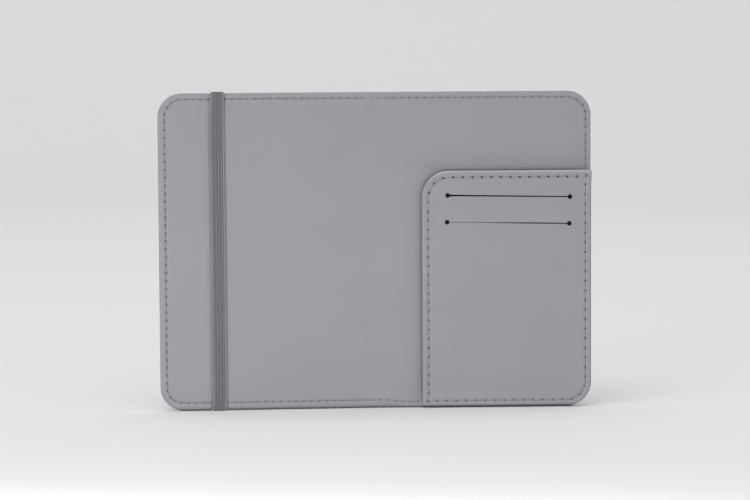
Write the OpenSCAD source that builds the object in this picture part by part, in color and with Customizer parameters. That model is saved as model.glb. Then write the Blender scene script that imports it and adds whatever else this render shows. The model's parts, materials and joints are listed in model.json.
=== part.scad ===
// Passport holder wallet, standing open on its bottom edge.
// Millimetres, +Z up. +X runs along the open wallet, and the insides of both covers face -Y.
// The origin is under the middle of the bounding box, on the surface that the wallet stands on.
// Every piece is drawn with the wallet opened flat, with the lining's face on the plane y = 0
// and the spine's middle on x = 0, and is then leaned forward with its cover.

/* [Cover] */
// Height of the wallet
cover_h = 142; // [138:1:150]
// Width from the middle of the spine to a fore edge, along the cover
half_w = 96.8; // [94:0.2:104]
// Radius of the four outer corners
corner_r = 10.8; // [8:0.2:14]
// Distance between the two creases that the covers turn about
spine_w = 9; // [9:0.5:14]
// Width of the soft zone round the spine, which holds no board
soft_w = 20; // [18:0.5:24]
// Gap that stands for each crease
crease_gap = 0.8; // [0.6:0.1:1]
// Angle in degrees that each cover leans forward of flat
lean = 1.5; // [0.5:0.1:4]

/* [Layers] */
// Thickness of the outer skin
skin_t = 0.8; // [0.6:0.1:1]
// Thickness of the stiffening boards
board_t = 1.2; // [1:0.1:1.4]
// Thickness of the lining
lining_t = 0.7; // [0.5:0.1:0.9]
// Width of the skin's turned-in edge
turn_w = 5; // [4:0.5:6]

/* [Pocket] */
// Width of the pocket, from the fore edge
pocket_w = 76; // [70:0.5:80]
// Height of the pocket, from the bottom edge
pocket_h = 106.6; // [98:0.2:112]
// Radius of the pocket's free corner
pocket_r = 12; // [6:0.5:16]
// Thickness of the pocket panel
panel_t = 0.8; // [0.6:0.1:1]
// Extra thickness of the panel's turned hem
hem_t = 0.5; // [0.4:0.1:0.8]
// Width of the panel's turned hem
hem_w = 5; // [4:0.5:6]
// Thickness of the pocket's cloth backing
backing_t = 0.3; // [0.2:0.1:0.4]
// Thickness of the cloth that divides the two card spaces
divider_t = 0.3; // [0.2:0.1:0.4]

/* [Card slits] */
// Length of a card slit between the centres of its end holes
slit_len = 54.9; // [54.4:0.1:58]
// Radius of the punched end holes
slit_hole_r = 1.05; // [0.8:0.05:1.3]
// Distance from the fore edge to the slits' nearer end holes
slit_edge = 9.5; // [8.5:0.5:12]
// Height of the upper slit's middle over the bottom edge
slit_top_z = 95.1; // [90:0.1:98]
// Distance between the two slits
slit_pitch = 12; // [9:0.5:16]
// Slope of both slits in degrees, falling towards the fore edge
slit_slope = 1; // [0:0.1:1.5]
// Width of the upper slit, which gapes a little
slit_top_gap = 0.7; // [0.3:0.1:1]
// Width of the lower slit
slit_low_gap = 0.4; // [0.3:0.1:1]

/* [Seams] */
// Distance from the border to the border seam
seam_in = 2.6; // [2.2:0.1:3.4]
// Distance from one stitch to the next in the border seam
seam_pitch = 3.5; // [3:0.1:5]
// Distance from the pocket's free edges to its hem seam
hem_in = 2.9; // [2.4:0.1:3.5]
// Distance from one stitch to the next in the hem seam and along the pocket's border
hem_pitch = 4.1; // [3.5:0.1:5]
// Radius of a stitch
thread_r = 0.28; // [0.2:0.02:0.35]

/* [Elastic] */
// Width of the elastic band
band_w = 6.5; // [5:0.5:8]
// Thickness of the elastic band
band_t = 1.1; // [0.8:0.1:1.2]
// Distance from the fore edge to the middle of the band
band_in = 26.3; // [20:0.1:34]
// How far the band stands over the top edge
band_proud = 0.7; // [0.3:0.1:0.8]
// Depth from each edge to the slot that takes the band's end
band_slot_in = 12; // [10:0.5:16]
// Length of the band's end behind the skin
band_tab = 8; // [5:0.5:12]

/* [Hidden] */
$fn = 48;
skin_grey = [0.56, 0.56, 0.58];
thread_grey = [0.6, 0.6, 0.62];
band_grey = [0.42, 0.43, 0.44];
cloth_grey = [0.4, 0.4, 0.42];
board_grey = [0.68, 0.66, 0.62];
over = 1;                                   // how far cutters reach past what they cut
fit = 0.2;                                  // clearance round the boards
shell_t = lining_t + board_t + skin_t;      // the whole cover
skin_y = lining_t + board_t;                // inner face of the outer skin
crease_x = spine_w / 2;
cover_x = crease_x + crease_gap / 2;        // where a cover's skin and lining begin
spine_x = crease_x - crease_gap / 2;        // where the spine's skin and lining end
soft_x = soft_w / 2;                        // where a cover's board begins
pocket_t = panel_t + hem_t + backing_t;
band_x = half_w - band_in;
stitch_l = seam_pitch - 0.8;
hem_stitch_l = hem_pitch - 0.8;
slot_gap = 0.05;                            // clearance round the band in its slot
tab_t = 0.8;                                // the band's pressed end behind the skin
backing_in = 1.2;                           // how far the backing stops short of the panel's edge

// The middle of the depth, from the stitches on the pocket to those on the spine's outside
front_y = -(half_w - seam_in - crease_x) * sin(lean) - (pocket_t + thread_r) * cos(lean);
back_y = shell_t + thread_r;
mid_y = (front_y + back_y) / 2;

// Stands the flat right-hand cover on its lean, about its crease
module lean_right() {
    translate([crease_x, -mid_y, 0])
        rotate([0, 0, -lean])
            translate([-crease_x, 0, 0])
                children();
}

// The same for a left-hand piece that is drawn as a right-hand one
module lean_left() {
    mirror([1, 0, 0])
        lean_right()
            children();
}

// Stands a flat drawing in X and Z up as a sheet from depth y, t thick
module sheet(y, t) {
    translate([0, y + t, 0])
        rotate([90, 0, 0])
            linear_extrude(t)
                children();
}

// A rectangle from [x0, z0] to [x1, z1] with a radius for each of its corners
module panel_2d(x0, z0, x1, z1, low_left, low_right, top_right, top_left) {
    corners = [
        [x0, z0, 1, 1, low_left], [x1, z0, -1, 1, low_right],
        [x1, z1, -1, -1, top_right], [x0, z1, 1, -1, top_left]
    ];
    difference() {
        translate([x0, z0])
            square([x1 - x0, z1 - z0]);
        for (c = corners)
            if (c[4] > 0)
                round_cutter_2d(c[0], c[1], c[2], c[3], c[4]);
    }
}

// What a corner at [x, z] loses when it is rounded; the panel lies in direction [sx, sz] from it
module round_cutter_2d(x, z, sx, sz, r) {
    translate([x, z])
        scale_sign(sx, sz)
            difference() {
                translate([-over, -over])
                    square([r + over, r + over]);
                translate([r, r])
                    circle(r);
            }
}

// Mirrors a drawing so that it points in direction [sx, sz]
module scale_sign(sx, sz) {
    mirror([sx < 0 ? 1 : 0, 0])
        mirror([0, sz < 0 ? 1 : 0])
            children();
}

// A cover's outline from x0 to its fore edge, drawn in by inset on its three outer sides
module cover_2d(x0, inset = 0) {
    r = corner_r - inset;
    panel_2d(x0, inset, half_w - inset, cover_h - inset, 0, r, r, 0);
}

// The pocket's outline, drawn in by inset on all four sides
module pocket_2d(inset = 0) {
    panel_2d(half_w - pocket_w + inset, inset, half_w - inset, pocket_h - inset,
        0, corner_r - inset, 0, pocket_r - inset);
}

// ---- Covers ----

// A cover's skin: a sheet with its edges turned in round the board
module cover_skin() {
    sheet(skin_y, skin_t)
        cover_2d(cover_x);
    sheet(lining_t, board_t)
        difference() {
            cover_2d(cover_x);
            cover_2d(cover_x - over, turn_w);
        }
}

// A cover's stiffening board, inside the skin's turned edge
module cover_board() {
    sheet(lining_t, board_t)
        cover_2d(soft_x + fit, turn_w + fit);
}

// A cover's lining, which lies flat over the board and the turned edge
module cover_lining() {
    sheet(0, lining_t)
        cover_2d(cover_x);
}

// The space that the elastic presses out of the cover's top and bottom edges
module band_dents() {
    wide = band_w + 2 * slot_gap;
    translate([band_x - wide / 2, -over, cover_h + band_proud - band_t])
        cube([wide, shell_t + 2 * over, band_t]);
    translate([band_x - wide / 2, -over, -over])
        cube([wide, shell_t + 2 * over, band_t + over]);
}

// The slots in the skin that take the elastic's two ends
module band_slots() {
    wide = band_w + 2 * slot_gap;
    tall = band_t + 2 * slot_gap;
    for (z = [band_slot_in, cover_h - band_slot_in])
        translate([band_x - wide / 2, skin_y - over, z - tall / 2])
            cube([wide, skin_t + 2 * over, tall]);
}

module left_outer_skin() {
    color(skin_grey)
        lean_left()
            difference() {
                cover_skin();
                band_dents();
                band_slots();
            }
}

module left_board() {
    wide = band_w + 2 * slot_gap;
    deep = tab_t + slot_gap;
    tall = band_tab + band_t + 2 * slot_gap;
    low = band_slot_in - band_t / 2 - slot_gap;
    color(board_grey)
        lean_left()
            difference() {
                cover_board();
                for (z = [low, cover_h - low - tall])
                    translate([band_x - wide / 2, skin_y - deep, z])
                        cube([wide, deep + over, tall]);
            }
}

module left_lining() {
    color(skin_grey)
        lean_left()
            difference() {
                cover_lining();
                band_dents();
            }
}

module right_outer_skin() {
    color(skin_grey)
        lean_right()
            cover_skin();
}

module right_board() {
    color(board_grey)
        lean_right()
            cover_board();
}

module right_lining() {
    color(skin_grey)
        lean_right()
            cover_lining();
}

// ---- Spine ----

// The spine's skin, with its turned edge along the top and the bottom and no board
module spine_outer_skin() {
    color(skin_grey)
        translate([-spine_x, lining_t - mid_y, 0]) {
            translate([0, board_t, 0])
                cube([2 * spine_x, skin_t, cover_h]);
            for (z = [0, cover_h - turn_w])
                translate([0, 0, z])
                    cube([2 * spine_x, board_t, turn_w]);
        }
}

module spine_lining() {
    color(skin_grey)
        translate([-spine_x, -mid_y, 0])
            cube([2 * spine_x, lining_t, cover_h]);
}

// ---- Elastic ----

// The straight run of the band over the inside of the left cover
module elastic_band() {
    top = cover_h + band_proud - band_t;
    color(band_grey)
        lean_left()
            translate([band_x - band_w / 2, -band_t, band_t])
                cube([band_w, band_t, top - band_t]);
}

// One end of the band in profile, [depth, height], for an edge at height 0 with the cover below:
// over the edge, down the outside, in through the slot and down behind the skin
module band_end_2d(proud) {
    slot_z = -band_slot_in;
    edge_z = proud - band_t;
    outside_y = shell_t + band_t;
    difference() {
        translate([-band_t, edge_z])
            square([outside_y + band_t, band_t]);
        round_cutter_2d(-band_t, proud, 1, -1, band_t);
        round_cutter_2d(outside_y, proud, -1, -1, band_t);
    }
    translate([shell_t, slot_z - band_t / 2])
        square([band_t, edge_z - slot_z + band_t / 2]);
    translate([skin_y - tab_t, slot_z - band_t / 2])
        square([tab_t + skin_t, band_t]);
    translate([skin_y - tab_t, slot_z - band_t / 2 - band_tab])
        square([tab_t, band_tab]);
}

module band_end(proud) {
    translate([band_x - band_w / 2, 0, 0])
        rotate([90, 0, 90])
            linear_extrude(band_w)
                band_end_2d(proud);
}

module elastic_top_end() {
    color(band_grey)
        lean_left()
            translate([0, 0, cover_h])
                band_end(band_proud);
}

module elastic_bottom_end() {
    color(band_grey)
        lean_left()
            mirror([0, 0, 1])
                band_end(0);
}

// ---- Pocket ----

// Cuts one slit and its two punched end holes through the panel
module slit_cutter(z, gap) {
    translate([half_w - slit_edge - slit_len / 2, 0, z])
        rotate([0, slit_slope, 0]) {
            translate([-slit_len / 2, -pocket_t - over, -gap / 2])
                cube([slit_len, pocket_t + over, gap]);
            for (side = [-1, 1])
                translate([side * slit_len / 2, 0, 0])
                    rotate([90, 0, 0])
                        cylinder(r = slit_hole_r, h = pocket_t + over);
        }
}

// The pocket's front: a sheet with a turned hem on all four sides
module pocket_panel() {
    color(skin_grey)
        lean_right()
            difference() {
                union() {
                    sheet(-pocket_t, panel_t)
                        pocket_2d();
                    sheet(-backing_t - hem_t, hem_t)
                        difference() {
                            pocket_2d();
                            pocket_2d(hem_w);
                        }
                }
                slit_cutter(slit_top_z, slit_top_gap);
                slit_cutter(slit_top_z - slit_pitch, slit_low_gap);
            }
}

// The cloth behind the pocket, between the cards and the passport's cover
module pocket_backing() {
    color(cloth_grey)
        lean_right()
            sheet(-backing_t, backing_t)
                pocket_2d(backing_in);
}

// The cloth that hangs from between the slits and keeps the two cards apart
module card_divider() {
    low = hem_w + fit;
    color(cloth_grey)
        lean_right()
            sheet(-pocket_t + panel_t, divider_t)
                panel_2d(half_w - pocket_w + low, low, half_w - low, slit_top_z - slit_pitch / 2,
                    0, corner_r - low, 0, 0);
}

// ---- Seams ----

// One stitch along X, flat on the plane y = 0 and standing out towards -Y
module stitch(len) {
    rotate([90, 0, 90])
        translate([0, 0, -len / 2])
            linear_extrude(len)
                difference() {
                    circle(thread_r, $fn = 24);
                    translate([0, -thread_r])
                        square([thread_r, 2 * thread_r]);
                }
}

// A straight row of stitches from [x, z] a to [x, z] b, about pitch apart
module stitch_line(a, b, pitch, len) {
    run = norm(b - a);
    count = round(run / pitch);
    along = (b - a) / run;
    for (i = [0 : count - 1]) {
        p = a + along * run * (i + 0.5) / count;
        translate([p[0], 0, p[1]])
            rotate([0, -atan2(along[1], along[0]), 0])
                stitch(len);
    }
}

// A row of stitches round a quarter circle about c, from angle a0 to a0 + 90
module stitch_arc(c, r, a0, pitch, len) {
    count = round(r * PI / 2 / pitch);
    for (i = [0 : count - 1]) {
        a = a0 + 90 * (i + 0.5) / count;
        translate([c[0] + r * cos(a), 0, c[1] + r * sin(a)])
            rotate([0, -a - 90, 0])
                stitch(len);
    }
}

// The border seam along a cover's top edge and round its corner
module border_top() {
    c = half_w - corner_r;
    stitch_line([cover_x, cover_h - seam_in], [c, cover_h - seam_in], seam_pitch, stitch_l);
    stitch_arc([c, cover_h - corner_r], corner_r - seam_in, 0, seam_pitch, stitch_l);
}

// The same along the bottom edge, from x0
module border_bottom(x0, pitch, len) {
    c = half_w - corner_r;
    stitch_line([x0, seam_in], [c, seam_in], pitch, len);
    stitch_arc([c, corner_r], corner_r - seam_in, -90, seam_pitch, stitch_l);
}

// The border seam up a fore edge, between heights low and high
module fore_edge(low, high, pitch, len) {
    stitch_line([half_w - seam_in, low], [half_w - seam_in, high], pitch, len);
}

// The whole border seam of a plain cover face
module plain_border() {
    border_top();
    border_bottom(cover_x, seam_pitch, stitch_l);
    fore_edge(corner_r, cover_h - corner_r, seam_pitch, stitch_l);
}

// The border seam with a gap where the elastic crosses it
module parted_border() {
    difference() {
        plain_border();
        translate([band_x - band_w / 2 - slot_gap, -over, 0])
            cube([band_w + 2 * slot_gap, 2 * over, cover_h]);
    }
}

// The border seam across the spine
module spine_border() {
    for (z = [seam_in, cover_h - seam_in])
        stitch_line([-spine_x, z], [spine_x, z], seam_pitch, stitch_l);
}

// Puts a row of stitches on the outside of the wallet
module outside() {
    translate([0, shell_t, 0])
        mirror([0, 1, 0])
            children();
}

module left_seam_thread() {
    color(thread_grey)
        lean_left() {
            parted_border();
            outside()
                parted_border();
        }
}

module spine_seam_thread() {
    color(thread_grey)
        translate([0, -mid_y, 0]) {
            spine_border();
            outside()
                spine_border();
        }
}

module right_seam_thread() {
    pocket_x = half_w - pocket_w;
    color(thread_grey)
        lean_right() {
            border_top();
            fore_edge(pocket_h, cover_h - corner_r, seam_pitch, stitch_l);
            stitch_line([cover_x, seam_in], [pocket_x, seam_in], seam_pitch, stitch_l);
            translate([0, -pocket_t, 0]) {
                border_bottom(pocket_x, hem_pitch, hem_stitch_l);
                fore_edge(corner_r, pocket_h, hem_pitch, hem_stitch_l);
            }
            outside()
                plain_border();
        }
}

module pocket_hem_thread() {
    left = half_w - pocket_w + hem_in;
    top = pocket_h - hem_in;
    bend_x = half_w - pocket_w + pocket_r;
    bend_z = pocket_h - pocket_r;
    color(thread_grey)
        lean_right()
            translate([0, -pocket_t, 0]) {
                stitch_line([left, seam_in + hem_pitch / 2], [left, bend_z], hem_pitch, hem_stitch_l);
                stitch_arc([bend_x, bend_z], pocket_r - hem_in, 90, hem_pitch, hem_stitch_l);
                stitch_line([bend_x, top], [half_w - seam_in - hem_pitch / 2, top],
                    hem_pitch, hem_stitch_l);
            }
}

left_outer_skin();
left_board();
left_lining();
left_seam_thread();
elastic_band();
elastic_top_end();
elastic_bottom_end();
spine_outer_skin();
spine_lining();
spine_seam_thread();
right_outer_skin();
right_board();
right_lining();
right_seam_thread();
pocket_panel();
pocket_backing();
card_divider();
pocket_hem_thread();
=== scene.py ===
"""The looks of the passport holder wallet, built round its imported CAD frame.

The covers are drawn flat, in millimetres: s runs along a cover out from the spine's middle, y is
the depth from the lining's face towards the outside, and z is up. place() stands them up.
"""

import json
import math

import bpy
import numpy as np
from mathutils import Matrix, Vector
from mathutils.geometry import delaunay_2d_cdt


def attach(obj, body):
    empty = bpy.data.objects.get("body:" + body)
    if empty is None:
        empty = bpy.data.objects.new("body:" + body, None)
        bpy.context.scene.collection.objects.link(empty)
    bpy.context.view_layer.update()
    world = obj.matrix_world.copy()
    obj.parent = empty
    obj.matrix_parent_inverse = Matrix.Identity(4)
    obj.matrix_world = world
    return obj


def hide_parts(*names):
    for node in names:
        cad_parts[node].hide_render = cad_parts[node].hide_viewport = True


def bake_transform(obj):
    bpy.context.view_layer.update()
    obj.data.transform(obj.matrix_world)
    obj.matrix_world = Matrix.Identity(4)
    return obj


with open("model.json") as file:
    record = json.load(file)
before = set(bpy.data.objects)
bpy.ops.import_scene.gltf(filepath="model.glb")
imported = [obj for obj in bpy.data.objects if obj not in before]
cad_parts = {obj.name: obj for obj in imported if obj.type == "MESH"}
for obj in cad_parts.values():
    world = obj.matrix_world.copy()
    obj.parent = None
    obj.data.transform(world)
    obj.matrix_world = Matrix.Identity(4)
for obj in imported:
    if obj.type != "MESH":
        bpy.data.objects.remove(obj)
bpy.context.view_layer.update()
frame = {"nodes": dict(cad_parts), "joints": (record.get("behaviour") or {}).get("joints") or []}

MM = 0.001
FRONT, BACK = 1, -1
LEFT, RIGHT = -1, 1
TINY = 1e-6  # points closer than this are one point

# ---- Sizes that the frame gives, in millimetres ----

joints = {joint["name"]: joint for joint in frame["joints"]}
crease_x, lining_y = [value / MM for value in joints["right_cover_fold"]["pos_m"][:2]]
lift_axis = joints["elastic_lift"]["axis"]
lean = math.atan2(lift_axis[0], -lift_axis[1])


def flat_box(node):
    """Lowest and highest corner (s, y, z) of a cover's CAD node in the flat drawing"""
    points = np.array([vertex.co for vertex in frame["nodes"][node].data.vertices]) / MM
    out = np.abs(points[:, 0]) - crease_x
    deep = points[:, 1] - lining_y
    s = crease_x + out * math.cos(lean) - deep * math.sin(lean)
    y = out * math.sin(lean) + deep * math.cos(lean)
    flat = np.column_stack((s, y, points[:, 2]))
    return flat.min(0), flat.max(0)


half_w, lining_t, cover_h = flat_box("right_lining")[1]
shell_t = flat_box("right_outer_skin")[1][1]
skin_y = flat_box("right_board")[1][1]
panel_low, panel_high = flat_box("pocket_panel")
pocket_s, pocket_t, pocket_h = panel_low[0], -panel_low[1], panel_high[2]
backing_t = -panel_high[1]
divider_y = flat_box("card_divider")[0][1]
band_low, band_high = flat_box("elastic_band")
band_s = (band_low[0] + band_high[0]) / 2
band_w = band_high[0] - band_low[0]
band_t = band_high[1] - band_low[1]
band_top = band_high[2]

# ---- Sizes that the frame doesn't give ----

corner_r, pocket_r = 10.8, 12.0
turn_w = 5.0  # of every hem and turned-in edge
bend_from, bend_to = 1.5, 7.5  # where the soft spine's bend begins and ends
lip_in = 0.1  # how far the lining's edge stops short of the skin's
lip_up = 0.45  # how far the lining and the pocket end over the floor
lining_round, pocket_round = 0.55, 0.62
band_slot_in = 12.0  # from the top and bottom edge to the elastic's slots
band_tuck = 0.7  # how deep the elastic is drawn behind the skin
rib_pitch = band_w / 5.1
seam_in, seam_pitch = 2.6, 3.5
seam_up = 0.95  # how much higher the bottom seam runs on the left
seam_out_left, seam_out_right = -0.45, 0.3  # how much nearer the fore edge each side seam runs
hem_in, hem_pitch, top_hem_pitch = 2.9, 4.1, 4.25
border_pitch = 4.3  # stitches of the border seam where it holds the pocket
slit_len, slit_hole_r, slit_edge = 54.9, 1.05, 9.5
slit_top_z, slit_pitch, slit_slope = 95.1, 12.0, math.radians(1.0)
hole_rings = (0.17, 0.38, 0.7, 1.15)  # where points lie round a needle hole
slit_rings = (0.08, 0.2, 0.4, 0.75, 1.3)  # and round a slit
hole_shade = 0.06  # the brightness of the painted shade in a needle hole, beside its leather's


def smooth(share):
    share = np.clip(share, 0, 1)
    return share * share * (3 - 2 * share)


def bump(distance, width):
    """1 at distance 0, falling away over width"""
    return np.exp(-((distance / width) ** 2))


def place(side, s, y, z):
    """Row-frame points, in metres, of flat points of one cover"""
    turn = lean * smooth((s - bend_from) / (bend_to - bend_from))
    out = s - crease_x
    x = crease_x + out * np.cos(turn) + y * np.sin(turn)
    deep = lining_y - out * np.sin(turn) + y * np.cos(turn)
    return np.column_stack((side * x, deep, z)) * MM


# ---- Outlines ----


class Line:
    """A straight stretch of an outline, with the panel on its left"""

    def __init__(self, start, end):
        self.start = np.array(start, float)
        self.reach = np.array(end, float) - self.start
        self.inward = np.array((-self.reach[1], self.reach[0])) / np.linalg.norm(self.reach)

    def run(self, inset):
        return np.linalg.norm(self.reach)

    def at(self, share, inset):
        return self.start + np.outer(share, self.reach) + self.inward * inset


class Corner:
    """A quarter circle of an outline, anticlockwise from its first angle"""

    def __init__(self, centre, radius, first):
        self.centre = np.array(centre, float)
        self.radius = radius
        self.first = math.radians(first)

    def run(self, inset):
        return (self.radius - inset) * math.pi / 2

    def at(self, share, inset):
        angle = self.first + np.asarray(share) * math.pi / 2
        return self.centre + (self.radius - inset) * np.column_stack((np.cos(angle), np.sin(angle)))


class Panel:
    """A flat panel with round corners. Its stretches run anticlockwise from its lower left corner.
    Its radii are those of its lower left, lower right, upper right and upper left corners. A cover's
    half is open on its left, where it meets the other half."""

    def __init__(self, low, high, radii, seams, open_left=False):
        self.low, self.high = np.array(low, float), np.array(high, float)
        self.radii = radii
        self.open_left = open_left
        (s0, z0), (s1, z1) = low, high
        low_left, low_right, top_right, top_left = radii
        stretches = [
            Line((s0 + low_left, z0), (s1 - low_right, z0)),
            Corner((s1 - low_right, z0 + low_right), low_right, -90),
            Line((s1, z0 + low_right), (s1, z1 - top_right)),
            Corner((s1 - top_right, z1 - top_right), top_right, 0),
            Line((s1 - top_right, z1), (s0 + top_left, z1)),
            Corner((s0 + top_left, z1 - top_left), top_left, 90),
            Line((s0, z1 - top_left), (s0, z0 + low_left)),
        ]
        count = 5 if open_left else 7
        self.stretches = [
            (stretch, seam)
            for stretch, seam in zip(stretches[:count], seams)
            if isinstance(stretch, Line) or stretch.radius > 0
        ]

    def inset(self, points):
        """How far inside the border each point lies"""
        low_left, low_right, top_right, top_left = self.radii
        low = self.low - (1000, 0) if self.open_left else self.low
        centre = (low + self.high) / 2
        away = points - centre
        right, upper = away[:, 0] > 0, away[:, 1] > 0
        radius = np.where(
            upper, np.where(right, top_right, top_left), np.where(right, low_right, low_left)
        )
        past = np.abs(away) - (self.high - low) / 2 + radius[:, None]
        outside = np.linalg.norm(np.maximum(past, 0), axis=1)
        return radius - outside - np.minimum(past.max(1), 0)

    def holes(self, stretch, seam):
        """Where along a stretch its needle holes are, as shares"""
        inset, pitch = seam
        count = max(1, round(stretch.run(inset) / pitch))
        return (np.arange(count) + 0.5) / count

    def needle_holes(self):
        """The needle holes of the whole seam, in order"""
        return np.vstack(
            [stretch.at(self.holes(stretch, seam), seam[0]) for stretch, seam in self.stretches]
        )

    def ring(self, inset):
        """Points along the outline drawn in by inset, closer together by the needle holes"""
        rows = []
        for stretch, seam in self.stretches:
            if isinstance(stretch, Corner) and stretch.radius <= inset:
                continue
            holes = self.holes(stretch, seam)
            run = stretch.run(seam[0])
            gap = run / len(holes)
            near = np.array((0, *hole_rings, gap / 2))
            near = np.concatenate((near, -near[1:-1])) / run
            shares = np.unique(np.round((holes[:, None] + near).ravel(), 9))
            shares = np.concatenate(([0], shares[(shares > 0) & (shares < 1)], [1]))
            rows.append(stretch.at(shares, inset))
        points = np.vstack(rows)
        if inset > 0:
            points = points[np.abs(self.inset(points) - inset) < TINY]
            corners = [self.low + inset, self.high - inset]
            points = np.vstack((points, corners))
            points = points[np.abs(self.inset(points) - inset) < TINY]
        keep = np.linalg.norm(points - np.roll(points, 1, 0), axis=1) > TINY
        return points[keep]


class Slit:
    """A slit with a round hole at each end. share runs from 0 to 1 along it, and width(share) is
    how far it gapes."""

    def __init__(self, centre, length, radius, width, slope=0.0):
        self.along = np.array((math.cos(slope), -math.sin(slope)))
        self.across = np.array((math.sin(slope), math.cos(slope)))
        self.start = np.array(centre, float) - self.along * length / 2
        self.length, self.radius, self.width = length, radius, width

    def local(self, points):
        """How far along the slit, and above it, each point lies"""
        away = points - self.start
        return away @ self.along, away @ self.across

    def distance(self, points):
        """How far outside the opening each point lies"""
        a, b = self.local(points)
        first = np.hypot(a, b) - self.radius
        last = np.hypot(a - self.length, b) - self.radius
        gape = np.abs(b) - self.width(a / self.length) / 2
        gape = np.where((a < 0) | (a > self.length), 1e3, gape)
        return np.minimum(np.minimum(first, last), gape)

    def loop(self, spread):
        """The opening's outline, drawn out by spread"""
        radius = self.radius + spread
        half = [self.width(np.array(share)) / 2 + spread for share in (0.0, 1.0)]
        meet = [math.asin(min(1.0, value / radius)) for value in half]
        clear = [radius * math.cos(angle) + 0.1 for angle in meet]
        a = np.arange(0, self.length, 0.7)
        a = a[(a > clear[0]) & (a < self.length - clear[1])]
        b = self.width(a / self.length) / 2 + spread
        first = np.linspace(meet[0], 2 * math.pi - meet[0], 29)
        last = np.linspace(math.pi + meet[1], 3 * math.pi - meet[1], 29)
        local = np.vstack((
            np.column_stack((radius * np.cos(first), radius * np.sin(first))),
            np.column_stack((a, -b)),
            np.column_stack((self.length + radius * np.cos(last), radius * np.sin(last))),
            np.column_stack((a, b))[::-1],
        ))
        return self.start + np.outer(local[:, 0], self.along) + np.outer(local[:, 1], self.across)


# ---- Sheets ----


def seam_distances(points, holes):
    """Each point's distance from a seam's line, and from its nearest needle hole"""
    seam = np.full(len(points), 1e3)
    for start, end in zip(holes[:-1], holes[1:]):
        reach = end - start
        share = np.clip((points - start) @ reach / (reach @ reach), 0, 1)
        away = points - start - np.outer(share, reach)
        seam = np.minimum(seam, np.hypot(away[:, 0], away[:, 1]))
    hole = np.full(len(points), 1e3)
    for needle in holes:
        away = points - needle
        hole = np.minimum(hole, np.hypot(away[:, 0], away[:, 1]))
    return seam, hole


def seam_relief(points, holes, groove, dimple, width=0.55, hole_r=0.34):
    """What a seam presses into a sheet, and how dark the painted shade in its needle holes is"""
    seam, hole = seam_distances(points, holes)
    relief = -groove * bump(seam, width) - dimple * bump(hole, hole_r)
    return relief, np.clip(1.4 * bump(hole, hole_r), 0, 1)


def edge_round(inset, radius):
    """How far a rounded edge falls away from the face"""
    short = np.clip(radius - inset, 0, radius)
    return radius - np.sqrt(radius ** 2 - short ** 2)


def ripple(s, z, height, phase):
    """The slight waves of a soft sheet"""
    wave = np.sin(s / 17.0 + phase) * np.cos(z / 23.0 + 1.7 * phase)
    wave += 0.6 * np.sin((s + 1.4 * z) / 13.0 + 2.3 * phase)
    wave += 0.35 * np.sin((1.3 * s - z) / 7.1 + 4.1 * phase)
    return height * wave / 1.95


def grid_points(panel, inner, holes, columns, rows):
    """Grid points further inside the panel than inner, and clear of its holes"""
    s, z = np.meshgrid(columns, rows)
    points = np.column_stack((s.ravel(), z.ravel()))
    points = points[panel.inset(points) > inner + 0.7]
    for hole in holes:
        points = points[hole.distance(points) > 2.2]
    return points


def steps(low, high, step):
    """Evenly spaced values from low to high, about step apart"""
    return np.linspace(low, high, max(2, round((high - low) / step) + 1))


def ring_insets(radius, seam, last):
    """Insets of the rings: along the rounding, round the seam, and out to last"""
    angles = np.radians((0, 18, 36, 54, 72, 90))
    rounding = radius * (1 - np.cos(angles))
    band = seam + np.array((-0.9, -0.55, -0.33, -0.15, 0, 0.15, 0.33, 0.55, 0.9))
    between = np.array((radius + 0.3, radius + 0.7))
    after = np.linspace(seam + 1.3, last, 4)
    return np.concatenate((rounding, between, band, after))


def new_object(name, points, faces, material):
    mesh = bpy.data.meshes.new(name)
    mesh.from_pydata(points.tolist(), [], faces)
    mesh.validate()
    mesh.shade_smooth()
    mesh.materials.append(material)
    piece = bpy.data.objects.new(name, mesh)
    bpy.context.scene.collection.objects.link(piece)
    return piece


def add_values(piece, name, kind, values):
    """Keeps one value for each vertex in an attribute, for the material to read"""
    attribute = piece.data.attributes.new(name, kind, "POINT")
    field = "vector" if kind == "FLOAT_VECTOR" else "value"
    attribute.data.foreach_set(field, np.asarray(values, np.float32).ravel())


def links(chain):
    """Edges from each number in the chain to the next"""
    return list(zip(chain[:-1], chain[1:]))


def sheet_drawing(panel, insets, grid, holes):
    """Points of a sheet's flat drawing, and the edges that its outline and its holes keep"""
    outline, *rings = [panel.ring(inset) for inset in insets]
    groups = [outline]
    edges = links(range(len(outline)))
    if panel.open_left:
        spine = np.vstack([points[points[:, 0] < TINY] for points in (*rings, grid)])
        spine = spine[np.argsort(-spine[:, 1])]
        groups.append(spine)
        edges += links([len(outline) - 1, *range(len(outline), len(outline) + len(spine)), 0])
        rings = [ring[ring[:, 0] > TINY] for ring in rings]
        grid = grid[grid[:, 0] > TINY]
    else:
        edges.append((len(outline) - 1, 0))
    for hole in holes:
        first = sum(len(group) for group in groups)
        loop = hole.loop(0)
        groups.append(loop)
        edges += links([*range(first, first + len(loop)), first])
        for spread in slit_rings:
            around = hole.loop(spread)
            groups.append(around[np.abs(hole.distance(around) - spread) < 0.03])
    return np.vstack(groups + rings + [grid]), edges


def triangulated(points, edges, holes):
    """The drawing's points and triangles, without its holes and the points that nothing uses"""
    made = delaunay_2d_cdt([Vector(point) for point in points], edges, [], 1, TINY)
    flat = np.array([tuple(point) for point in made[0]])
    triangles = np.array(made[2])
    for hole in holes:
        centres = flat[triangles].mean(1)
        triangles = triangles[hole.distance(centres) >= 0]
    used = np.unique(triangles)
    number = np.full(len(flat), -1)
    number[used] = np.arange(len(used))
    return flat[used], number[triangles]


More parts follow.
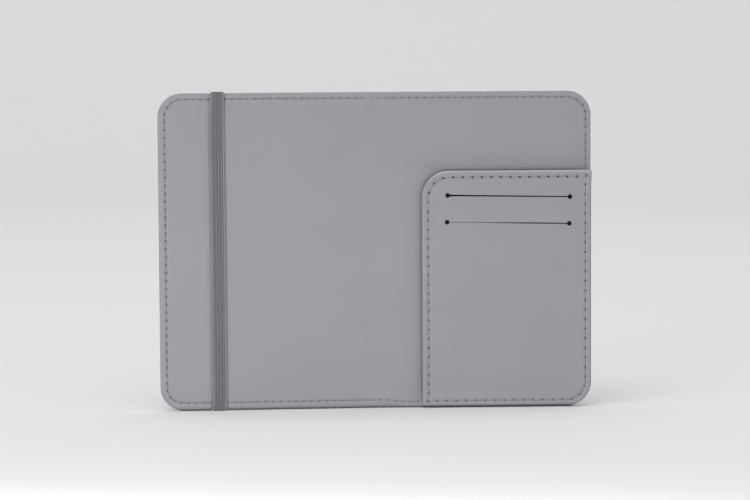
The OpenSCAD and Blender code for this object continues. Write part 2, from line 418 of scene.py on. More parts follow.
def sheet(name, side, panel, insets, grid, holes, faces, material, shift, pale):
    """A closed sheet. faces(points, inset) gives the depths of its two faces and its painted shade,
    shift(points) how far they move in the sheet's own plane, and pale(points) how pale its edge is
    painted there, partly as a painted highlight. The two faces share the points of the outline."""
    flat, triangles = triangulated(*sheet_drawing(panel, insets, grid, holes), holes)
    inset = np.maximum(panel.inset(flat), 0)
    front, back, dark = faces(flat, inset)
    own = inset >= 1e-4
    other = np.arange(len(flat))
    other[own] = len(flat) + np.arange(np.count_nonzero(own))
    flat = np.vstack((flat, flat[own]))
    inset = np.concatenate((inset, inset[own]))
    depth = np.concatenate((front, back[own]))
    dark = np.concatenate((dark, dark[own]))
    rim = pale(flat) * bump(inset, 0.45)
    flat = flat + shift(flat)
    corners = triangles.tolist() + other[triangles][:, ::-1].tolist() + walls(triangles, other)
    if side == LEFT:
        corners = [face[::-1] for face in corners]
    piece = new_object(name, place(side, flat[:, 0], depth, flat[:, 1]), corners, material)
    piece.data.set_sharp_from_angle(angle=math.radians(55))
    add_values(piece, "flat", "FLOAT_VECTOR", np.column_stack((side * flat[:, 0], depth, flat[:, 1])))
    add_values(piece, "dark", "FLOAT", dark)
    add_values(piece, "rim", "FLOAT", rim)
    return piece


def walls(triangles, other):
    """Faces that join a sheet's front to its back along its open edges"""
    directed = {(a, b) for face in triangles.tolist() for a, b in zip(face, face[1:] + face[:1])}
    made = []
    for a, b in directed:
        if (b, a) in directed:
            continue
        corners = [b, a]
        corners += [int(i) for i in (other[a], other[b]) if i not in (a, b)]
        if len(corners) > 2:
            made.append(tuple(corners))
    return made


# ---- Materials ----


class Nodes:
    """Short ways to add nodes to a new material"""

    def __init__(self, name):
        self.material = bpy.data.materials.new(name)
        self.material.use_nodes = True
        self.tree = self.material.node_tree
        self.shader = self.tree.nodes["Principled BSDF"]

    def add(self, kind, inputs=None, **settings):
        node = self.tree.nodes.new(kind)
        for key, value in settings.items():
            setattr(node, key, value)
        for key, value in (inputs or {}).items():
            self.put(node.inputs[key], value)
        return node

    def put(self, socket, value):
        """Links an output to a socket, or sets the socket's own value"""
        if isinstance(value, bpy.types.NodeSocket):
            self.tree.links.new(value, socket)
        else:
            socket.default_value = value

    def math(self, operation, *values):
        node = self.add("ShaderNodeMath", operation=operation)
        for socket, value in zip(node.inputs, values):
            self.put(socket, value)
        return node.outputs[0]

    def mix(self, share, first, second):
        node = self.add("ShaderNodeMix", data_type="RGBA")
        for number, value in ((0, share), (6, first), (7, second)):
            self.put(node.inputs[number], value)
        return node.outputs[2]

    def spread(self, value, low, high):
        """Maps 0 to 1 onto low to high"""
        return self.add(
            "ShaderNodeMapRange", {"Value": value, "To Min": low, "To Max": high}
        ).outputs[0]

    def noise(self, where, scale, detail=2.0, rough=0.5):
        inputs = {"Vector": where, "Scale": scale, "Detail": detail, "Roughness": rough}
        return self.add("ShaderNodeTexNoise", inputs).outputs["Fac"]

    def surface(self, colour, roughness):
        self.put(self.shader.inputs["Base Color"], colour)
        self.put(self.shader.inputs["Roughness"], roughness)

    def bump(self, height, distance):
        """A bump whose full height is distance, in millimetres"""
        inputs = {"Height": height, "Distance": distance * MM, "Strength": 1.0}
        self.put(self.shader.inputs["Normal"], self.add("ShaderNodeBump", inputs).outputs[0])

    def attribute(self, name, output="Fac"):
        return self.add("ShaderNodeAttribute", attribute_name=name).outputs[output]

    def object_mm(self):
        """Row-frame position in millimetres"""
        where = self.add("ShaderNodeTexCoord").outputs["Object"]
        scaled = self.add("ShaderNodeVectorMath", {0: where, "Scale": 1 / MM}, operation="SCALE")
        return scaled.outputs[0]


def grey(value, warm=1.0, cool=1.0):
    """A grey with its red and blue scaled"""
    return (value * warm, value, value * cool, 1.0)


def leather(name, value):
    """Matt grey leather with a fine grain, a little cloudy, and paler along its edges. Its rim
    attribute also paints a highlight, and its dark attribute paints shade
    """
    nodes = Nodes(name)
    where = nodes.attribute("flat", "Vector")
    clouds = nodes.noise(where, 0.035, 3.0)
    mottle = nodes.noise(where, 0.45, 2.0)
    cells = nodes.add(
        "ShaderNodeTexVoronoi", {"Vector": where, "Scale": 1.9, "Smoothness": 0.6}, feature="SMOOTH_F1"
    ).outputs["Distance"]
    pores = nodes.noise(where, 5.0, 2.0, 0.6)
    shade = nodes.math("ADD", nodes.spread(clouds, -0.5, 0.5), nodes.spread(mottle, -0.2, 0.2))
    shade = nodes.math("ADD", shade, 0.5)
    colour = nodes.mix(shade, grey(value * 0.955, 1.008, 1.073), grey(value * 1.045, 1.012, 1.065))
    # Paler edges, and a painted highlight where rim is strongest
    rim = nodes.math("MULTIPLY", nodes.attribute("rim"), nodes.spread(mottle, 0.45, 0.85))
    colour = nodes.mix(rim, colour, grey(value * 2.0, 1.0, 1.05))
    # Painted shade where the dark attribute says
    colour = nodes.mix(nodes.attribute("dark"), colour, grey(value * hole_shade, 1.0, 1.05))
    nodes.surface(colour, nodes.spread(mottle, 0.5, 0.64))
    nodes.shader.inputs["Specular IOR Level"].default_value = 0.4
    height = nodes.math("ADD", nodes.math("MULTIPLY", cells, 0.8), nodes.math("MULTIPLY", pores, 0.4))
    nodes.bump(height, 0.035)
    return nodes.material


def thread_look(name, value):
    """Sewing thread, with its fibres running round each ply, and painted shade at its ends"""
    nodes = Nodes(name)
    where = nodes.attribute("flat", "Vector")
    fibres = nodes.add(
        "ShaderNodeTexWave",
        {"Vector": where, "Scale": 5.0, "Distortion": 1.2, "Detail": 2.0},
        bands_direction="DIAGONAL",
    ).outputs["Fac"]
    colour = nodes.mix(fibres, grey(value * 0.85, 0.99, 1.07), grey(value * 1.1, 0.99, 1.06))
    # Painted shade where the stitches' ends go into their holes
    colour = nodes.mix(nodes.attribute("dark"), colour, grey(value * hole_shade, 1.0, 1.05))
    nodes.surface(colour, nodes.spread(fibres, 0.55, 0.75))
    nodes.bump(fibres, 0.03)
    return nodes.material


def elastic_look(name, value, rib):
    """Knitted elastic: chains of small loops along each rib, the knit's own pattern, painted darker
    in its hollows as shade, and a painted highlight along each selvage
    """
    nodes = Nodes(name)
    parts = nodes.add("ShaderNodeSeparateXYZ", {0: nodes.attribute("flat", "Vector")})
    across, along = parts.outputs[0], parts.outputs[1]
    lane = nodes.math("DIVIDE", across, rib)
    slant = nodes.math("MULTIPLY", nodes.math("PINGPONG", lane, 0.5), 0.9)
    climb = nodes.math("ADD", along, slant)
    loops = nodes.math("SINE", nodes.math("MULTIPLY", climb, 2 * math.pi / 0.62))
    loops = nodes.spread(loops, 0.5, 1.0)
    crown = nodes.math("COSINE", nodes.math("MULTIPLY", lane, 2 * math.pi))
    crown = nodes.math("MULTIPLY_ADD", crown, -0.5, 0.5)
    fuzz = nodes.noise(nodes.attribute("flat", "Vector"), 3.0, 3.0)
    # Rib crowns and loops are painted paler, and their hollows darker as painted shade
    share = nodes.math("MULTIPLY", crown, loops)
    share = nodes.math("ADD", nodes.math("MULTIPLY", share, 0.7), nodes.math("MULTIPLY", fuzz, 0.3))
    colour = nodes.mix(share, grey(value * 0.52, 0.965, 1.06), grey(value * 1.36, 0.965, 1.06))
    # Painted highlight along the selvages
    colour = nodes.mix(nodes.attribute("rim"), colour, grey(value * 1.75, 0.965, 1.05))
    nodes.surface(colour, nodes.spread(fuzz, 0.7, 0.88))
    nodes.shader.inputs["Sheen Weight"].default_value = 0.15
    nodes.bump(share, 0.12)
    return nodes.material


def cloth_look(name, value):
    """Dark plain-woven lining cloth"""
    nodes = Nodes(name)
    where = nodes.object_mm()
    wave = {"Vector": where, "Scale": 1.6, "Distortion": 0.3}
    yarns = [nodes.add("ShaderNodeTexWave", wave, bands_direction=way) for way in "XZ"]
    weave = nodes.math("MAXIMUM", *[yarn.outputs["Fac"] for yarn in yarns])
    uneven = nodes.noise(where, 0.2, 3.0)
    colour = nodes.mix(weave, grey(value * 0.6), grey(value * 1.2, 1.0, 1.08))
    colour = nodes.mix(nodes.spread(uneven, 0.0, 0.35), colour, grey(value * 0.8))
    nodes.surface(colour, nodes.spread(uneven, 0.75, 0.95))
    nodes.shader.inputs["Specular IOR Level"].default_value = 0.1
    nodes.bump(weave, 0.05)
    return nodes.material


def board_look(name, value):
    """Grey board: pressed fibres with darker and paler flecks"""
    nodes = Nodes(name)
    where = nodes.object_mm()
    fibre = nodes.noise(where, 1.3, 5.0, 0.7)
    flecks = nodes.noise(where, 0.5, 2.0)
    colour = nodes.mix(fibre, grey(value * 0.75, 1.03, 0.93), grey(value * 1.15, 1.03, 0.94))
    colour = nodes.mix(nodes.spread(flecks, 0.0, 0.3), colour, grey(value * 0.6, 1.05, 0.9))
    nodes.surface(colour, nodes.spread(fibre, 0.85, 1.0))
    nodes.bump(fibre, 0.05)
    return nodes.material


leather_grey = 0.252
skin_look = leather("skin_leather", leather_grey)
lining_look = leather("lining_leather", leather_grey)
pocket_look = leather("pocket_leather", leather_grey)
seam_look = thread_look("seam_thread", 0.264)
band_look = elastic_look("ribbed_elastic", 0.147, rib_pitch)
dark_cloth = cloth_look("pocket_cloth", 0.012)
grey_board = board_look("grey_board", 0.36)

# ---- Covers ----

cover_seam = (seam_in, seam_pitch)
cover_panel = Panel((0, 0), (half_w, cover_h), (0, corner_r, corner_r, 0), [cover_seam] * 5, True)
lip_seam = (seam_in - lip_in, seam_pitch)
lining_panel = Panel(
    (0, lip_up), (half_w - lip_in, cover_h - lip_in),
    (0, corner_r - lip_in, corner_r - lip_in, 0), [lip_seam] * 5, True,
)

border_seam = (seam_in, border_pitch)
top_hem_seam, hem_seam = (hem_in, top_hem_pitch), (hem_in, hem_pitch)
pocket_panel = Panel(
    (pocket_s, lip_up), (half_w, pocket_h), (0, corner_r, 0, pocket_r),
    [border_seam] * 4 + [top_hem_seam, hem_seam, hem_seam],
)

# A cover's own needle holes, and the same with the first ones past the spine's middle at either end
own_holes = cover_panel.needle_holes()
past_holes = own_holes[[0, -1]] * (-1, 1)
seam_holes = np.vstack((past_holes[:1], own_holes, past_holes[1:]))

# Where the covers' grids have points
band_edges = [band_s - band_w / 2, band_s + band_w / 2]
beside = np.array((0, 0.35, 0.8, 1.3, 2.0, 2.9, 4.0))
band_columns = np.concatenate([edge + way * beside for edge in band_edges for way in (-1, 1)])
cover_columns = np.unique(np.concatenate((steps(0, 12, 1.0), steps(14, 93, 2.6))))
left_columns = cover_columns[np.abs(cover_columns - band_s) > band_w / 2 + 4.5]
left_columns = np.unique(np.concatenate((left_columns, band_columns)))
cover_rows = steps(3, cover_h - 3, 2.6)


def right_grid(grid):
    """The right lining's grid, with rows that follow the pocket's free edges"""
    grid = grid[np.abs(-pocket_panel.inset(grid) - 2.0) > 2.8]
    rows = []
    for stretch, _ in pocket_panel.stretches[-3:]:
        shares = np.linspace(0, 1, max(2, round(stretch.run(0) / 1.6)))
        rows += [stretch.at(shares, -off) for off in (-0.4, *beside)]
    rows = np.vstack(rows)
    rows = rows[lining_panel.inset(rows) > 6.3]
    return np.vstack((grid, rows))


def band_share(s):
    """1 under the elastic, falling away beside it"""
    off = np.abs(s - band_s) - band_w / 2
    return np.exp(-np.maximum(off, 0) / 1.3)


def band_dent(flat):
    """How the elastic draws the cover's top and bottom edges in"""
    off = np.abs(flat[:, 0] - band_s) - band_w / 2
    share = 1 - smooth((off + 0.2) / 0.55)
    top = (cover_h - band_top) * share * smooth((flat[:, 1] - cover_h + 6) / 6)
    bottom = band_t * share * smooth((6 - flat[:, 1]) / 6)
    return np.column_stack((0 * share, bottom - top))


def seam_rise(side, flat):
    """The seam runs further in from the left cover's edges, and closer to the right one's"""
    s, z = flat[:, 0], flat[:, 1]
    inside = smooth(cover_panel.inset(flat) / 1.9)
    rise = seam_up * inside * (1 - smooth((z - 3.4) / 4))
    rise *= 1 - smooth((s - 2.5) / 12) if side == RIGHT else 1 - smooth((s - half_w + 9) / 8)
    out = seam_out_right if side == RIGHT else seam_out_left
    out = out * inside * (1 - smooth((half_w - s - 3.4) / 4))
    return np.column_stack((out, rise))


def left_shift(flat):
    return band_dent(flat) + seam_rise(LEFT, flat)


def right_shift(flat):
    return seam_rise(RIGHT, flat)


def quiet_rows(z):
    """How dark the painted shade in a cover's needle holes is: faintest in the top and bottom rows"""
    return 0.62 - 0.3 * (smooth((7 - z) / 3) + smooth((z - cover_h + 7) / 3))


def foot(z, strength):
    """Painted shadow: the dark line of contact shade along a bottom edge"""
    return strength * bump(z, 0.75)


def spine_relief(side, flat):
    """The soft spine swells and puckers by its top and bottom seams, as no board holds it flat"""
    x, z = side * flat[:, 0], flat[:, 1]
    swell = 0.34 * bump(x - 0.4, 3.8) * (1 - smooth((cover_h - z - 4.5) / 4))
    swell += 0.34 * bump(x - 2.4, 5.0) * (1 - smooth((z - 3.5) / 4))
    pucker = 0.12 * bump(x - 5.6, 1.8) * bump(z - 5.0, 5.5)
    pucker -= 0.1 * bump(x - 1.8, 1.7) * bump(z - 6.0, 5.0)
    return swell + pucker


def lining_faces(side):
    """The lining's faces: it dips under the elastic and round the pocket"""
    def faces(flat, inset):
        relief, dark = seam_relief(flat, seam_holes, groove=0.16, dimple=0.4)
        # Painted shade in the needle holes, and a painted shadow line along the bottom edge
        dark = np.maximum(dark * quiet_rows(flat[:, 1]), foot(flat[:, 1], 0.62))
        # Painted dark by the spine's top seam and round the pocket: relief alone shades too little
        faint = 0.055 * bump(flat[:, 0], 3.4) * bump(flat[:, 1] - cover_h + 7.5, 2.8)
        dark = np.maximum(dark, faint)
        relief -= edge_round(inset, lining_round)
        relief += 0.07 * bump(inset - 1.35, 0.8)
        relief += ripple(side * flat[:, 0], flat[:, 1], 0.09, 0.4) * smooth(inset / 8)
        relief += spine_relief(side, flat) * smooth(inset / 3)
        if side == LEFT:
            relief -= 0.3 * band_share(flat[:, 0])
        else:
            past = np.maximum(-pocket_panel.inset(flat), 0)
            relief -= 0.58 * np.exp(-past / 2.3) * smooth(inset / 7)
            above = smooth((flat[:, 1] - pocket_h + 2) / 3)
            shade = 0.19 * np.exp(-past / 3.0) * (1 - above) + 0.3 * np.exp(-past / 5.0) * above
            dark = np.maximum(dark, shade * (past > 0) * smooth(inset / 2))
        back = np.full(len(flat), lining_t)
        front = np.where(inset > lining_round, np.minimum(-relief, lining_t - 0.06), -relief)
        return front, back, dark
    return faces


def skin_faces(side):
    """The outer skin's faces: its edge is turned in over the board"""
    def faces(flat, inset):
        round_t = (shell_t - lining_t) / 2
        relief, dark = seam_relief(flat, seam_holes, groove=0.16, dimple=0.35)
        # Painted shade in the needle holes, and a painted shadow line along the bottom edge
        dark = np.maximum(dark * quiet_rows(flat[:, 1]), foot(flat[:, 1], 0.5))
        relief += ripple(side * flat[:, 0], flat[:, 1], 0.08, 2.9) * smooth(inset / 8)
        relief -= 0.3 * bump(flat[:, 0] - 8.0, 1.9) * smooth(inset / 5)
        fall = edge_round(inset, round_t)
        turned = smooth((inset - turn_w) / 0.15)
        front = lining_t + fall + (skin_y - lining_t) * turned
        back = shell_t - fall + relief * smooth(inset / 1.2)
        return front, back, dark
    return faces


def cover_rim(flat):
    """How pale the covers' edges are"""
    return np.full(len(flat), 0.1)


def lining_sheet(name, side, columns, shift):
    insets = ring_insets(lining_round, seam_in - lip_in, 5.6)
    grid = grid_points(lining_panel, insets[-1], [], columns, cover_rows)
    if side == RIGHT:
        grid = right_grid(grid)
    return sheet(
        name, side, lining_panel, insets, grid, [], lining_faces(side), lining_look, shift, cover_rim,
    )


def skin_sheet(name, side, columns, holes, shift):
    insets = ring_insets((shell_t - lining_t) / 2, seam_in, 4.6)
    insets = np.sort(np.append(insets, (turn_w, turn_w + 0.15, 6.2)))
    grid = grid_points(cover_panel, insets[-1], holes, columns, cover_rows)
    return sheet(
        name, side, cover_panel, insets, grid, holes, skin_faces(side), skin_look, shift, cover_rim,
    )


def band_slot(z):
    """The slot in the skin that takes an end of the elastic"""
    tall = band_t + 0.15
    return Slit((band_s, z), band_w + 0.15 - tall, tall / 2, lambda share: tall + 0 * share)


def cover_blend(piece):
    """Bakes the piece's transform into its mesh"""
    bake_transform(piece)


left_lining = lining_sheet("left_cover_lining", LEFT, left_columns, left_shift)
right_lining = lining_sheet("right_cover_lining", RIGHT, cover_columns, right_shift)
slots = [band_slot(band_slot_in), band_slot(cover_h - band_slot_in)]
left_skin = skin_sheet("left_cover_skin", LEFT, left_columns, slots, left_shift)
right_skin = skin_sheet("right_cover_skin", RIGHT, cover_columns, [], right_shift)

for piece, side, body, node, slot_name, under in (
    (left_lining, LEFT, "left_cover", "left_lining", "lining_grey", "left_board"),
    (right_lining, RIGHT, "right_cover", "right_lining", "lining_grey", "right_board"),
    (left_skin, LEFT, "left_cover", "left_outer_skin", "skin_grey", "left_board"),
    (right_skin, RIGHT, "right_cover", "right_outer_skin", "skin_grey", "right_board"),
):
    cover_blend(piece)
    spine_node = "spine_lining" if slot_name == "lining_grey" else "spine_outer_skin"
    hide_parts(node, spine_node)

# ---- Pocket ----

slit_s = half_w - slit_edge - slit_len / 2


def top_gape(share):
    """The upper slit gapes most by its hole on the spine's side"""
    return 0.66 + 0.4 * np.exp(-share / 0.035) - 0.24 * share


def low_gape(share):
    """The lower slit is nearly shut on the spine's side"""
    return 0.14 + 0.32 * smooth((share - 0.2) / 0.5)


slits = [
    Slit((slit_s, slit_top_z), slit_len, slit_hole_r, top_gape, slit_slope),
    Slit((slit_s - 0.3, slit_top_z - slit_pitch), slit_len, slit_hole_r, low_gape, slit_slope),
]
pocket_holes = pocket_panel.needle_holes()


def slit_lips(flat):
    """The lower lip of each slit stands out a little, and the upper one lies back"""
    relief = np.zeros(len(flat))
    for slit in slits:
        a, b = slit.local(flat)
        along = smooth(a / 6) * smooth((slit.length - a) / 6)
        relief += 0.13 * along * bump(b + 0.2, 1.1) * (b < 0)
        relief -= 0.1 * along * bump(b, 1.3) * (b >= 0)
        relief -= 0.13 * bump(np.maximum(slit.distance(flat), 0), 0.14)
    return relief


def pocket_shift(flat):
    """The pocket's upper corner reaches a little past the cover's fore edge"""
    away = flat - (half_w, pocket_h)
    reach = 0.4 * bump(np.hypot(away[:, 0], away[:, 1]), 5.0)
    return np.column_stack((reach, 0 * reach))


def pocket_pale_rim_and_highlight(flat):
    """How pale the pocket's edge is painted: a little all round, and a painted highlight along its top
    """
    return 0.06 + 1.2 * smooth((flat[:, 1] - pocket_h + 5) / 4)


def pocket_faces(flat, inset):
    """The pocket front's faces: thick at the hem, sewn down at the border, two corners lifted"""
    relief, dark = seam_relief(flat, pocket_holes, groove=0.15, dimple=0.6, width=0.6, hole_r=0.36)
    # The needle holes' painted shade, strongest along the top row
    in_top_row = smooth((flat[:, 1] - pocket_h + 16) / 8) * smooth((half_w - flat[:, 0] - 4) / 2)
    dark *= 0.4 + 0.9 * in_top_row
    # A faint painted shade over its foot, and a painted shadow line along its bottom edge
    faint = 0.05 * bump(flat[:, 1] - 9.0, 3.2) * smooth((inset - 4) / 8)
    dark = np.maximum(np.minimum(np.maximum(dark, faint), 1), foot(flat[:, 1] - lip_up, 0.85))
    relief -= edge_round(inset, pocket_round)
    relief += 0.24 * bump(inset - 1.3, 0.9)
    relief += ripple(flat[:, 0], flat[:, 1], 0.1, 1.3) * smooth(inset / 8)
    relief += slit_lips(flat)
    relief -= 0.3 * bump(flat[:, 1] - 6.3, 3.4) * smooth((inset - 3.5) / 6)
    lift = np.zeros(len(flat))
    for corner in ((pocket_s, 0), (half_w, pocket_h)):
        away = flat - corner
        lift += 0.22 * bump(np.hypot(away[:, 0], away[:, 1]), 6.0)
    front = -pocket_t - relief - lift
    sewn = np.minimum(half_w - flat[:, 0], flat[:, 1])
    sewn = (1 - smooth((sewn - 0.9) / 0.3)) * backing_t * 0.9
    hem = smooth((inset - turn_w) / 0.3)
    back = -backing_t + sewn - edge_round(inset, 0.5) + (backing_t + divider_y) * hem - lift
    return front, back, dark


pocket_insets = ring_insets(pocket_round, seam_in, 4.6)
pocket_insets = np.unique(np.append(pocket_insets, (hem_in, hem_in + 0.15, turn_w, turn_w + 0.3, 6.2)))
pocket_grid = grid_points(
    pocket_panel, pocket_insets[-1], slits,
    steps(pocket_s + 6, half_w - 6, 2.3), steps(6, pocket_h - 6, 2.3),
)
pocket = sheet(
    "pocket_front", RIGHT, pocket_panel, pocket_insets, pocket_grid, slits, pocket_faces, pocket_look,
    pocket_shift, pocket_pale_rim_and_highlight,
)
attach(pocket, "right_cover")
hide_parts("pocket_panel")

# ---- Stitches ----

ply_r, ply_off = 0.125, 0.1  # radius of a ply, and how far it lies off the thread's middle
ply_sides, ply_steps = 6, 10
stitch_sink = 0.55  # how deep a stitch's ends go into their holes
stitch_slant = 0.14  # how far a stitch leaves the seam's line on either side


def joined(parts):
    """Points and faces of several parts, with the faces numbered anew"""
    points, faces = [], []
    for part_points, part_faces in parts:
        first = sum(len(group) for group in points)
        points.append(part_points)
        faces += [tuple(first + i for i in face) for face in part_faces]
    return np.vstack(points), faces


def stitch_shape():
    """One two-ply stitch from share 0 to 1: shares, sideways and upwards offsets, and faces"""
    share = np.linspace(0, 1, ply_steps + 1)
    height = -stitch_sink * np.abs(2 * share - 1) ** 6
    around = np.arange(ply_sides) * 2 * math.pi / ply_sides
    rows, faces = [], []
    for ply in (0, math.pi):
        first = len(rows) * ply_sides
        for value, up in zip(share, height):
            twist = ply + value * 2 * math.pi * 1.5
            side = ply_off * math.cos(twist) + ply_r * np.cos(around)
            lift = up + ply_off * math.sin(twist) + ply_r * np.sin(around)
            rows.append(np.column_stack((np.full(ply_sides, value), side, lift)))
        for step in range(ply_steps):
            for k in range(ply_sides):
                a = first + step * ply_sides + k
                b = first + step * ply_sides + (k + 1) % ply_sides
                faces.append((a, b, b + ply_sides, a + ply_sides))
        last = first + ply_steps * ply_sides
        faces.append(tuple(range(first + ply_sides - 1, first - 1, -1)))
        faces.append(tuple(range(last, last + ply_sides)))
    return np.vstack(rows), faces


def stitch_row(side, starts, ends, base, facing):
    """A row of stitches on a face at depth base: placed points, faces, material positions, and how
    far each point is from its stitch's nearer end"""
    shape, faces = stitch_shape()
    parts, flat, gaps = [], [], []
    for start, end in zip(starts, ends):
        reach = end - start
        length = np.linalg.norm(reach)
        normal = np.array((-reach[1], reach[0])) / length
        aside = stitch_slant * np.sin((shape[:, 0] - 0.5) * 2 * math.pi) * facing
        at = start + np.outer(shape[:, 0], reach) + np.outer(shape[:, 1] + aside, normal)
        parts.append((place(side, at[:, 0], base - facing * shape[:, 2], at[:, 1]), faces))
        flat.append(np.column_stack((shape[:, 0] * length, shape[:, 1], shape[:, 2] + len(parts))))
        gaps.append(np.minimum(shape[:, 0], 1 - shape[:, 0]) * length)
    return *joined(parts), np.vstack(flat), np.concatenate(gaps)


def cover_ends(points):
    """How dark the painted shade at the ends of a cover's stitches is"""
    return quiet_rows(points[:, 2])


def hem_ends(points):
    """How dark the painted shade at the ends of the hem's stitches is: darkest along the pocket's top
    """
    return 0.45 + 0.55 * smooth((points[:, 2] - pocket_h + 16) / 8)


def border_ends(points):
    """How dark the painted shade at the ends of the border's stitches is where they hold the pocket"""
    return np.full(len(points), 0.4)


def thread_piece(name, rows, strength):
    """One piece of all the stitches in some rows. strength(points) says how dark the painted shade
    at their ends is.
    """
    points, corners = joined([row[:2] for row in rows])
    gaps = np.concatenate([row[3] for row in rows])
    piece = new_object(name, points, corners, seam_look)
    add_values(piece, "flat", "FLOAT_VECTOR", np.vstack([row[2] for row in rows]))
    add_values(piece, "dark", "FLOAT", strength(points / MM) * bump(gaps, 0.5))
    return piece


def stitches(holes, keep=None):
    """Starts and ends of the stitches between holes, of those whose middle keep() accepts"""
    starts, ends = holes[:-1], holes[1:]
    kept = slice(None) if keep is None else keep((starts + ends) / 2)
    return starts[kept], ends[kept]


def bare_lining(middle):
    """Where the right cover's inside has no pocket over its border"""
    return (middle[:, 1] > pocket_h) | (middle[:, 0] < pocket_s - 0.5)


left_holes = own_holes + left_shift(own_holes)
right_holes = own_holes + right_shift(own_holes)
left_thread = thread_piece("left_border_stitches", [
    stitch_row(LEFT, *stitches(left_holes), 0.1, FRONT),
    stitch_row(LEFT, *stitches(left_holes), shell_t - 0.08, BACK),
], cover_ends)
right_thread = thread_piece("right_border_stitches", [
    stitch_row(RIGHT, *stitches(right_holes, bare_lining), 0.1, FRONT),
    stitch_row(RIGHT, *stitches(right_holes), shell_t - 0.08, BACK),
], cover_ends)
cover_blend(left_thread)
cover_blend(right_thread)
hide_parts("left_seam_thread")
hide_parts("right_seam_thread")

spine_ends = right_holes[[0, -1]]
spine_starts = spine_ends * (-1, 1)
spine_thread = thread_piece("spine_border_stitches", [
    stitch_row(RIGHT, spine_starts, spine_ends, 0.1, FRONT),
    stitch_row(RIGHT, spine_starts, spine_ends, shell_t - 0.08, BACK),
], cover_ends)
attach(spine_thread, "spine")
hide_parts("spine_seam_thread")


def on_hem(middle):
    """Where the pocket's seam holds its hem, and not the wallet's border"""
    top_row = (middle[:, 1] > pocket_h - 4) & (middle[:, 0] < half_w - 4)
    return (middle[:, 0] < pocket_s + 4) | top_row


def on_border(middle):
    return ~on_hem(middle)


closed_holes = np.vstack((pocket_holes, pocket_holes[:1]))
hem_thread = thread_piece("pocket_hem_stitches", [
    stitch_row(RIGHT, *stitches(closed_holes, on_hem), 0.14 - pocket_t, FRONT),
], hem_ends)
border_thread = thread_piece("pocket_border_stitches", [
    stitch_row(RIGHT, *stitches(closed_holes, on_border), 0.1 - pocket_t, FRONT),
], border_ends)
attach(hem_thread, "right_cover")
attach(border_thread, "right_cover")
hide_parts("pocket_hem_thread")
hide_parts("right_seam_thread")

# ---- Elastic ----

turn_r = 0.35  # of the elastic's inner line, where it turns a corner


def band_path():
    """The elastic's inner line as (y, z), its outward normal and its length so far: out of one slot,
    round the cover and into the other slot"""
    top, bottom = band_top, band_t
    top_slot, bottom_slot = cover_h - band_slot_in + band_t / 2, band_slot_in - band_t / 2
    tucked, over_lining = skin_y - band_tuck, 0.05
    corners = np.array((
        (tucked, top_slot),
        (shell_t, top_slot),
        (shell_t, top),
        (over_lining, top),
        (over_lining, bottom),
        (shell_t, bottom),
        (shell_t, bottom_slot),
        (tucked, bottom_slot),
    ))
    points, normals = [corners[0]], [np.array((0.0, -1.0))]
    for before, corner, after in zip(corners[:-2], corners[1:-1], corners[2:]):
        way_in = (corner - before) / np.linalg.norm(corner - before)
        way_out = (after - corner) / np.linalg.norm(after - corner)
        right_in = np.array((way_in[1], -way_in[0]))
        right_out = np.array((way_out[1], -way_out[0]))
        start = corner - way_in * turn_r
        centre = start - right_in * turn_r
        run = start - points[-1]
        count = max(1, round(np.linalg.norm(run) / 1.2))
        for share in np.arange(1, count) / count:
            points.append(points[-1] + run / count)
            normals.append(right_in)
        for share in np.linspace(0, 1, 9):
            angle = share * math.pi / 2
            normal = right_in * math.cos(angle) + right_out * math.sin(angle)
            points.append(centre + normal * turn_r)
            normals.append(normal)
    points.append(corners[-1])
    normals.append(np.array((0.0, 1.0)))
    points, normals = np.array(points), np.array(normals)
    gaps = np.linalg.norm(np.diff(points + normals * band_t / 2, axis=0), axis=1)
    return points, normals, np.concatenate(([0], np.cumsum(gaps)))


def band_thickness(across):
    """The elastic's thickness across its width: rounded ribs between thin selvages"""
    ribs = 0.5 - 0.5 * np.cos(2 * math.pi * across / rib_pitch)
    side = np.clip((band_w / 2 - np.abs(across)) / 0.45, 0, 1)
    return (band_t - 0.16 + 0.16 * ribs) * (0.45 + 0.55 * np.sqrt(side * (2 - side)))


def elastic_piece():
    """The elastic, drawn in and towards the spine where it turns over the top edge"""
    points, normals, along = band_path()
    outer = np.linspace(-band_w / 2, band_w / 2, 73)
    inner = np.linspace(band_w / 2, -band_w / 2, 13)
    across = np.concatenate((outer, inner))
    lift = np.concatenate((band_thickness(outer), np.zeros(len(inner))))
    lift[-1] = lift[len(outer)] = 0.12
    top_edge = along[np.argmax(points[:, 1] - points[:, 0])]
    drawn = bump(along - top_edge, 8)
    wander = 0.1 * np.sin(along / 31.0 + 0.8) - 0.35 * drawn
    ring = len(across)
    depth = points[:, :1] + normals[:, :1] * lift
    height = points[:, 1:] + normals[:, 1:] * lift
    s = band_s + across[None, :] * (1 - 0.09 * drawn[:, None]) + wander[:, None]
    placed = place(LEFT, s.ravel(), depth.ravel(), height.ravel())
    faces = []
    for row in range(len(points) - 1):
        for k in range(ring):
            a, b = row * ring + k, row * ring + (k + 1) % ring
            faces.append((a, b, b + ring, a + ring))
    faces.append(tuple(range(ring - 1, -1, -1)))
    faces.append(tuple(range((len(points) - 1) * ring, len(points) * ring)))
    piece = new_object("elastic_strap", placed, faces, band_look)
    flat = np.column_stack((
        np.tile(across, len(points)), np.repeat(along, ring), np.tile(lift, len(points)),
    ))
    add_values(piece, "flat", "FLOAT_VECTOR", flat)
    # Painted highlights along the selvages
    selvage = bump(band_w / 2 - np.abs(across) - 0.38, 0.24)
    add_values(piece, "rim", "FLOAT", np.tile(selvage, len(points)))
    return piece


elastic = elastic_piece()
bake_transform(elastic)
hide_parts("elastic_band", "elastic_top_end", "elastic_bottom_end")

# ---- What stays of the CAD ----

for names, material in (
    (("left_board", "right_board"), grey_board),
    (("pocket_backing", "card_divider"), dark_cloth),
):
    for name in names:
        node = frame["nodes"][name]
        node.data.materials.clear()
        node.data.materials.append(material)

# ---- Studio ----


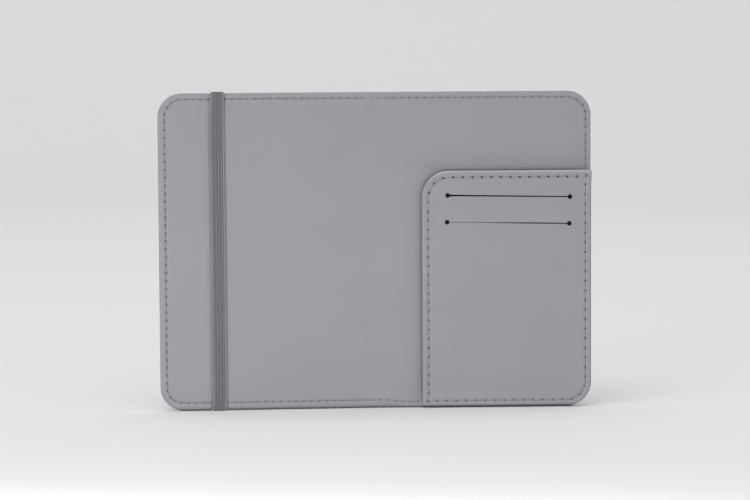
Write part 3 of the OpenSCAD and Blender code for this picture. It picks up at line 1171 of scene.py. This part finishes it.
def studio_sweep():
    """A pale floor that curves up into the backdrop"""
    half, near, far, tall, radius = 4.0, -4.0, 1.6, 4.0, 1.4
    angles = np.linspace(0, math.pi / 2, 25)
    profile = [(near, 0.0)]
    profile += [(far + radius * math.sin(a), radius * (1 - math.cos(a))) for a in angles]
    profile.append((far + radius, tall))
    points = np.array([(x, y, z) for y, z in profile for x in (-half, half)])
    faces = [(2 * i, 2 * i + 1, 2 * i + 3, 2 * i + 2) for i in range(len(profile) - 1)]
    nodes = Nodes("studio_paper")
    nodes.surface(grey(0.8, 1.0, 1.01), 0.9)
    new_object("studio_floor", points, faces, nodes.material)


def soft_light(name, at, aim, size, power):
    light = bpy.data.lights.new(name, "AREA")
    light.shape = "RECTANGLE"
    light.size, light.size_y = size
    light.energy = power
    lamp = bpy.data.objects.new(name, light)
    lamp.location = at
    lamp.rotation_euler = (Vector(aim) - Vector(at)).to_track_quat("-Z", "Y").to_euler()
    bpy.context.scene.collection.objects.link(lamp)


def camera(at, right_turn, down_turn, roll, lens):
    """The photograph's camera: at is in mm, from the middle of the spine's lining, on the floor"""
    data = bpy.data.cameras.new("camera")
    data.lens, data.sensor_width = lens, 36
    item = bpy.data.objects.new("camera", data)
    turn = Matrix.Rotation(math.radians(-right_turn), 4, "Z")
    turn = turn @ Matrix.Rotation(math.radians(90 - down_turn), 4, "X")
    turn = turn @ Matrix.Rotation(math.radians(roll), 4, "Z")
    eye = Vector((at[0], at[1] + lining_y, at[2])) * MM
    item.matrix_world = Matrix.Translation(eye) @ turn
    bpy.context.scene.collection.objects.link(item)
    bpy.context.scene.camera = item


studio_sweep()
soft_light("key_light", (-1.2, -1.5, 0.3), (-0.05, 0, 0), (0.8, 0.5), 5)
# From behind, the low card's glow shows on the floor
soft_light("low_card", (-0.09, -0.3, 0.006), (-0.04, 0, 0.03), (0.45, 0.02), 0.5)
soft_light("fill_light", (2.4, -3.0, 0.9), (0, 0, 0.05), (2.0, 1.6), 4)
soft_light("top_light", (-0.5, -0.9, 2.4), (0, 0, 0), (1.8, 1.8), 23)
soft_light("backdrop_light", (0, 0.6, 2.6), (0, 2.6, 0.6), (3.0, 1.0), 15)
world = bpy.data.worlds.new("studio_air")
world.use_nodes = True
air = world.node_tree.nodes["Background"]
air.inputs["Color"].default_value = (0.9, 0.9, 0.92, 1)
air.inputs["Strength"].default_value = 0.635
bpy.context.scene.world = world
camera((-77.1, -1248.8, 167.2), 3.521, 4.383, -0.34, 134.4)
bpy.context.scene.view_settings.view_transform = "Standard"
